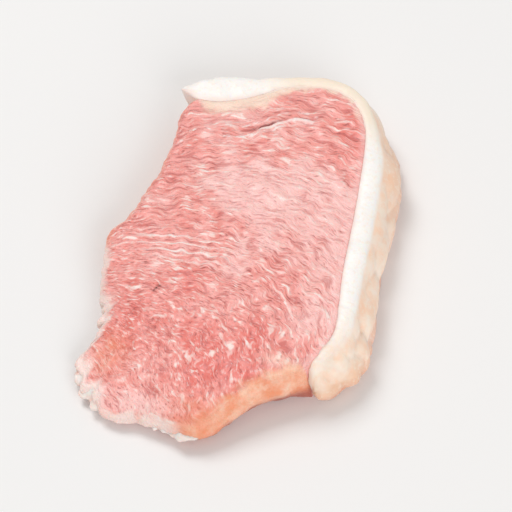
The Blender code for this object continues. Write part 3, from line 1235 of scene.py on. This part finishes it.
@dataclass(frozen=True)
class LeanFinish:
    """Raw lean pork, cut with a knife: pale rose fibres under a thin film of juice."""

    pale: str = "#ffc6c0"
    middle: str = "#f7a198"
    deep: str = "#ed7b71"
    ridge: str = "#ffe4dc"  # the light that stands on a fibre's wet back
    # painted shade in the furrows between the fibres
    furrow: str = "#cb6a66"
    marbling: str = "#fff1ea"
    membrane: str = "#ffc9ab"  # the peach skin of the trimmed side
    orange: str = "#f59d72"
    warm: str = "#ee8960"  # where that skin is thickest, at the tip and the thin corner
    foot: str = "#ad5443"  # painted shade low on that side, darker and redder towards the floor
    cream: str = "#ffe6d1"
    milk: str = "#fbe8e0"  # the half-clear tissue of the thin corner
    lip: str = "#fde6e1"
    # painted shade: the dark of the crease's slit and of the finest furrows
    slit: str = "#9c4d48"
    # Length, width and softness of the fibres' threads, in millimetres. The finest is drawn coarser than the
    # real 0.1 mm fibres, which would be too fine to show.
    threads: tuple[tuple[float, float, float], ...] = ((3.4, 0.85, 1.0), (1.8, 0.42, 1.0))
    fleck_mm: float = 2.4
    blot_mm: float = 5.5
    grit_mm: float = 0.7
    scatter_mm: float = 1.4

    def material(self) -> bpy.types.Material:
        """Makes the material, which reads the numbers painted on the lean.

        Returns:
            The material.
        """
        n = Nodes("raw_lean_pork")
        place = n.add("TexCoord", out="Object")
        fibre = n.add("Attribute", {"attribute_name": "fibre"}, "Vector")
        grain = n.add("Attribute", {"attribute_name": "grain"}, "Fac")
        flecks = n.add("TexNoise", Vector=place, Scale=1 / (self.fleck_mm * MM), Detail=2.0)
        grit = n.add("TexNoise", Vector=place, Scale=1 / (self.grit_mm * MM), Detail=2.0)
        threads = []
        for length, width, detail in self.threads:
            at = n.add("VectorMath", TIMES, i0=fibre, i1=(1 / length, 1 / width, 1 / width))
            threads.append(n.add("TexNoise", Vector=at, Scale=1.0, Detail=detail))

        # broad soft patches of paler and deeper meat
        depth = n.add("Attribute", {"attribute_name": "deep"}, "Fac")
        low = n.add("MapRange", SOFT, Value=depth, From_Min=0.0, From_Max=0.5)
        high = n.add("MapRange", SOFT, Value=depth, From_Min=0.45, From_Max=1.0)
        tone = n.add("Mix", COLOUR, 2, i0=low, i6=self.pale, i7=self.middle)
        tone = n.add("Mix", COLOUR, 2, i0=high, i6=tone, i7=self.deep)

        # painted highlights on the wet fibre backs and painted shade in the furrows between, in two sizes, which give
        # the dense short streaks; they are fainter where the meat is pale
        clear = n.add("MapRange", Value=depth, From_Min=0.0, From_Max=0.4, To_Min=0.62, To_Max=1.0)
        # the raised grain lifts the coarse pattern, so the painted highlights sit on its ridges and the painted shade
        # in its hollows
        lifted = n.add("Math", TIMES, i0=grain, i1=0.17)
        coarse = n.add("Math", PLUS, i0=threads[0], i1=lifted)
        for pattern, low, high, strength, colour in (
            (coarse, 0.47, 0.28, 0.62, self.furrow),
            (threads[1], 0.44, 0.3, 0.4, self.furrow),
            (threads[1], 0.37, 0.27, 0.5, self.slit),
            (threads[1], 0.55, 0.72, 0.45, self.ridge),
            (coarse, 0.56, 0.78, 0.7, self.ridge),
        ):
            amount = n.add("MapRange", SOFT, Value=pattern, From_Min=low, From_Max=high, To_Max=strength)
            amount = n.add("Math", TIMES, i0=amount, i1=clear)
            tone = n.add("Mix", COLOUR, 2, i0=amount, i6=tone, i7=colour)
        specks = n.add("Math", TIMES, i0=coarse, i1=flecks)
        specks = n.add("MapRange", SOFT, Value=specks, From_Min=0.38, From_Max=0.46, To_Max=0.55)
        tone = n.add("Mix", COLOUR, 2, i0=specks, i6=tone, i7=self.marbling)

        # what lies over the grain: sinew lines, the seam, cream and milky tissue, the crease with painted shade in
        # its slit
        for name, high, strength, colour in (
            ("strand", 0.8, 0.8, self.marbling),
            ("seam", 1.0, 0.55, self.pale),
            ("cream", 1.0, 0.8, self.cream),
            ("lip", 0.55, 0.95, self.lip),
            ("slit", 0.8, 0.85, self.slit),
        ):
            amount = n.add("Attribute", {"attribute_name": name}, "Fac")
            amount = n.add("MapRange", SOFT, Value=amount, From_Max=high, To_Max=strength)
            tone = n.add("Mix", COLOUR, 2, i0=amount, i6=tone, i7=colour)

        # the trimmed side: a smooth peach membrane, with painted shade that makes it darker and redder towards its
        # foot
        foot = n.add("Attribute", {"attribute_name": "low"}, "Fac")
        foot = n.add("MapRange", SOFT, Value=foot, From_Min=0.1, From_Max=0.95, To_Max=0.92)
        blots = n.add("TexNoise", Vector=place, Scale=1 / (self.blot_mm * MM), Detail=3.0, Roughness=0.6)
        blots = n.add("MapRange", SOFT, Value=blots, From_Min=0.32, From_Max=0.68)
        skin = n.add("Mix", COLOUR, 2, i0=blots, i6=self.membrane, i7=self.orange)
        streaky = n.add("MapRange", SOFT, Value=flecks, From_Min=0.48, From_Max=0.72, To_Max=0.35)
        skin = n.add("Mix", COLOUR, 2, i0=streaky, i6=skin, i7=self.cream)
        skin = n.add("Mix", COLOUR, 2, i0=foot, i6=skin, i7=self.foot)
        for name, strength, colour in (("side", 0.92, skin), ("warm", 0.6, self.warm)):
            amount = n.add("Attribute", {"attribute_name": name}, "Fac")
            amount = n.add("Math", TIMES, i0=amount, i1=strength)
            tone = n.add("Mix", COLOUR, 2, i0=amount, i6=tone, i7=colour)
        milk = n.add("Attribute", {"attribute_name": "milk"}, "Fac")
        amount = n.add("MapRange", SOFT, Value=milk, From_Max=0.9, To_Max=0.82)
        tone = n.add("Mix", COLOUR, 2, i0=amount, i6=tone, i7=self.milk)

        ripple = n.add("Math", TIMES, i0=threads[1], i1=1.6)
        ripple = n.add("Math", PLUS, i0=ripple, i1=grit)
        relief = n.add("Bump", None, "Normal", Strength=0.45, Distance=0.0004, Height=ripple)
        wet = n.add("MapRange", Value=flecks, From_Min=0.3, From_Max=0.75, To_Min=0.3, To_Max=0.5)
        shader = n.add(
            "BsdfPrincipled",
            Base_Color=tone,
            Roughness=wet,
            IOR=1.38,
            Normal=relief,
            Subsurface_Weight=0.2,
            Subsurface_Radius=(1.0, 0.35, 0.25),
            Subsurface_Scale=self.scatter_mm * MM,
            Coat_Weight=0.25,
            Coat_Roughness=0.22,
        )
        return n.finish(shader)


@dataclass(frozen=True)
class FatFinish:
    """Firm pork back fat: waxy white where the knife cut it, cream and a little pink on its outer side."""

    cut: str = "#fdf8f3"
    cut_warm: str = "#fae4cb"
    blush: str = "#f8d3c8"  # where it meets the lean
    outer: str = "#ffd6ba"
    outer_pale: str = "#fdeada"
    # tan: the fat's own tan, and on the knob's lower part painted shade as well
    tan: str = "#ebbe9c"
    pink: str = "#e8a892"
    lobe_mm: float = 5.0
    grain_mm: float = 1.2
    scatter_mm: float = 2.0

    def material(self) -> bpy.types.Material:
        """Makes the material, which reads the numbers painted on the fat.

        Returns:
            The material.
        """
        n = Nodes("raw_pork_back_fat")
        place = n.add("TexCoord", out="Object")
        lobes = n.add("TexNoise", Vector=place, Scale=1 / (self.lobe_mm * MM), Detail=3.0, Roughness=0.55)
        grains = n.add("TexNoise", Vector=place, Scale=1 / (self.grain_mm * MM), Detail=2.0)

        # the cut face: white, warmer where the band is thin
        tone = self.cut
        for name, strength, colour in (("band", 0.75, self.cut_warm), ("inner", 0.55, self.blush)):
            amount = n.add("Attribute", {"attribute_name": name}, "Fac")
            amount = n.add("Math", TIMES, i0=amount, i1=strength)
            tone = n.add("Mix", COLOUR, 2, i0=amount, i6=tone, i7=colour)

        # the outer side: cream in soft blotches, tan on the bulge and on the knob's lower part, there partly painted
        # shade, pinker at its foot
        blotch = n.add("MapRange", SOFT, Value=lobes, From_Min=0.3, From_Max=0.7)
        cream = n.add("Mix", COLOUR, 2, i0=blotch, i6=self.outer, i7=self.outer_pale)
        for name, strength, colour in (("knob", 0.8, self.tan), ("bulge", 0.6, self.tan), ("low", 0.7, self.pink)):
            amount = n.add("Attribute", {"attribute_name": name}, "Fac")
            amount = n.add("Math", TIMES, i0=amount, i1=strength)
            cream = n.add("Mix", COLOUR, 2, i0=amount, i6=cream, i7=colour)
        outer = n.add("Attribute", {"attribute_name": "outer"}, "Fac")
        tone = n.add("Mix", COLOUR, 2, i0=outer, i6=tone, i7=cream)
        speck = n.add("MapRange", SOFT, Value=grains, From_Min=0.5, From_Max=0.68, To_Max=0.45)
        tone = n.add("Mix", COLOUR, 2, i0=speck, i6=tone, i7=self.outer_pale)

        height = n.add("Math", PLUS, i0=lobes, i1=n.add("Math", TIMES, i0=grains, i1=0.5))
        relief = n.add("Bump", None, "Normal", Strength=0.3, Distance=0.0005, Height=height)
        sheen = n.add("MapRange", Value=lobes, From_Min=0.3, From_Max=0.7, To_Min=0.34, To_Max=0.52)
        shader = n.add(
            "BsdfPrincipled",
            Base_Color=tone,
            Roughness=sheen,
            IOR=1.44,
            Normal=relief,
            Subsurface_Weight=0.25,
            Subsurface_Radius=(1.0, 0.7, 0.5),
            Subsurface_Scale=self.scatter_mm * MM,
            Coat_Weight=0.12,
            Coat_Roughness=0.3,
        )
        return n.finish(shader)


@dataclass(frozen=True)
class SinewFinish:
    """Thin wet sinew: milky, letting some of the light and of the pink through."""

    milk: str = "#fff3ec"
    blush: str = "#fbd3c8"
    vein_mm: float = 3.0

    def material(self) -> bpy.types.Material:
        """Makes the material.

        Returns:
            The material.
        """
        n = Nodes("wet_sinew")
        place = n.add("TexCoord", out="Object")
        veins = n.add("TexNoise", Vector=place, Scale=1 / (self.vein_mm * MM), Detail=3.0, Roughness=0.6)
        amount = n.add("MapRange", SOFT, Value=veins, From_Min=0.4, From_Max=0.7)
        tone = n.add("Mix", COLOUR, 2, i0=amount, i6=self.milk, i7=self.blush)
        relief = n.add("Bump", None, "Normal", Strength=0.4, Distance=0.0004, Height=veins)
        shader = n.add(
            "BsdfPrincipled",
            Base_Color=tone,
            Roughness=0.48,
            IOR=1.38,
            Normal=relief,
            Transmission_Weight=0.12,
            Subsurface_Weight=0.3,
            Subsurface_Radius=(1.0, 0.6, 0.5),
            Subsurface_Scale=0.0015,
            Coat_Weight=0.05,
            Coat_Roughness=0.4,
        )
        return n.finish(shader)


# --------------------------------------------------------------------------- the studio


@dataclass(frozen=True)
class Studio:
    """A pale floor, soft light from behind the left shoulder of the chop, and a long lens from the front."""

    azimuth: float = 22.0
    elevation: float = 55.0
    distance: float = 0.9
    frame_width: float = 0.142  # what the lens takes in at the chop
    floor_colour: str = "#f4f3f2"
    floor_tooth: str = "#e8e6e4"
    floor_gap: float = 0.00005  # below the chop's foot, so that the two don't flicker
    tooth_mm: float = 1.11
    surround_colour: tuple[float, ...] = (1.0, 0.99, 0.98, 1.0)
    surround_strength: float = 0.45
    # Name, where it hangs from the chop's middle in metres, side in metres, power in watts.
    softboxes: tuple[tuple[str, tuple[float, float, float], float, float], ...] = (
        ("key_softbox", (-0.75, 0.45, 1.25), 0.7, 10.9), ("fill_softbox", (0.9, -0.85, 0.66), 0.9, 8.6),
    )

    def build(self) -> None:
        """Sets the floor, the lights, the surroundings and the camera."""
        low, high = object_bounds()
        middle = (low + high) / 2
        self._floor()
        self._world()
        for name, way, size, power in self.softboxes:
            self._light(name, middle, way, size, power)
        self._camera(middle)

    def _floor(self) -> None:
        """A wide flat floor at the height of the chop's foot."""
        bpy.ops.object.select_all(action="DESELECT")
        bpy.ops.mesh.primitive_plane_add(size=4.0, location=(0, 0, CAD_LOW.z - self.floor_gap))
        floor = bpy.context.object
        floor.name = "studio_floor"
        n = Nodes("matt_white_paper")
        place = n.add("TexCoord", out="Object")
        tooth = n.add("TexNoise", Vector=place, Scale=1 / (self.tooth_mm * MM), Detail=2.0)
        amount = n.add("Math", TIMES, i0=tooth, i1=0.03)
        tone = n.add("Mix", COLOUR, 2, i0=amount, i6=self.floor_colour, i7=self.floor_tooth)
        shader = n.add("BsdfPrincipled", Base_Color=tone, Roughness=0.9, Specular_IOR_Level=0.2)
        floor.data.materials.append(n.finish(shader))
        floor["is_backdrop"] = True

    def _world(self) -> None:
        """An even white surrounding light."""
        world = bpy.data.worlds.new("studio_light")
        world.use_nodes = True
        back = world.node_tree.nodes["Background"]
        back.inputs["Color"].default_value = self.surround_colour
        back.inputs["Strength"].default_value = self.surround_strength
        bpy.context.scene.world = world

    def _light(self, name: str, at: Vector, way: tuple[float, float, float], size: float, power: float) -> None:
        """Hangs one square softbox.

        Args:
            name: Its name.
            at: What it points at.
            way: Where it hangs from there, in metres.
            size: Its side, in metres.
            power: Its power in watts.
        """
        data = bpy.data.lights.new(name, "AREA")
        data.size = size
        data.energy = power
        lamp = bpy.data.objects.new(name, data)
        bpy.context.scene.collection.objects.link(lamp)
        lamp.location = at + Vector(way)
        lamp.rotation_euler = (-Vector(way)).to_track_quat("-Z", "Y").to_euler()

    def _camera(self, middle: Vector) -> None:
        """Sets the camera at the viewing angle of a plate on a table.

        Args:
            middle: What it looks at.
        """
        a, e = math.radians(self.azimuth), math.radians(self.elevation)
        back = Vector((math.sin(a) * math.cos(e), -math.cos(a) * math.cos(e), math.sin(e)))
        data = bpy.data.cameras.new("camera")
        data.sensor_width = 36.0
        data.lens = data.sensor_width * self.distance / self.frame_width
        data.clip_start, data.clip_end = 0.05, 20.0
        camera = bpy.data.objects.new("camera", data)
        bpy.context.scene.collection.objects.link(camera)
        camera.location = middle + back * self.distance
        camera.rotation_euler = (-back).to_track_quat("-Z", "Y").to_euler()
        bpy.context.scene.camera = camera
        bpy.context.scene.view_settings.view_transform = "Standard"


# --------------------------------------------------------------------------- the whole


# Name, start and end along the trimmed edge, how far it stands out, seed.
SCRAPS = (
    ("corner_scrap", 60.0, 98.0, ((0, 0.4), (0.3, 1.7), (0.6, 1.9), (1, 0.8)), 71.0),
    ("left_scrap", 96.0, 121.0, ((0, 0.8), (0.4, 2.6), (0.7, 2.4), (1, 0.8)), 73.0),
    ("tip_scrap", 32.0, 48.0, ((0, 1.4), (0.4, 3.0), (1, 1.2)), 75.0),
)


def dress(obj: bpy.types.Object, material: bpy.types.Material) -> None:
    """Gives a piece its one material."""
    obj.data.materials.clear()
    obj.data.materials.append(material)


def report(obj: bpy.types.Object) -> None:
    """Logs a piece's size."""
    LOG.info("%s: %d faces", obj.name, len(obj.data.polygons))


def main() -> None:
    """Builds the chop and the studio."""
    logging.basicConfig(level=logging.INFO, format="%(message)s")
    plan = ChopPlan()

    eye = LeanEye(plan)
    lean = eye.build()
    dress(lean, LeanFinish().material())
    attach(lean, "root")
    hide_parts("loin_eye")
    report(lean)

    fat = FatCap(plan, eye.shift).build()
    dress(fat, FatFinish().material())
    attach(fat, "root")
    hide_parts("fat_cap")
    report(fat)

    sinew = SinewFinish().material()
    for name, start, end, reach, seed in SCRAPS:
        piece = EdgeScraps(plan, eye.shift, name, start, end, reach, seed).build()
        dress(piece, sinew)
        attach(piece, "root")
        report(piece)

    Studio().build()


if __name__ == "__main__":
    main()
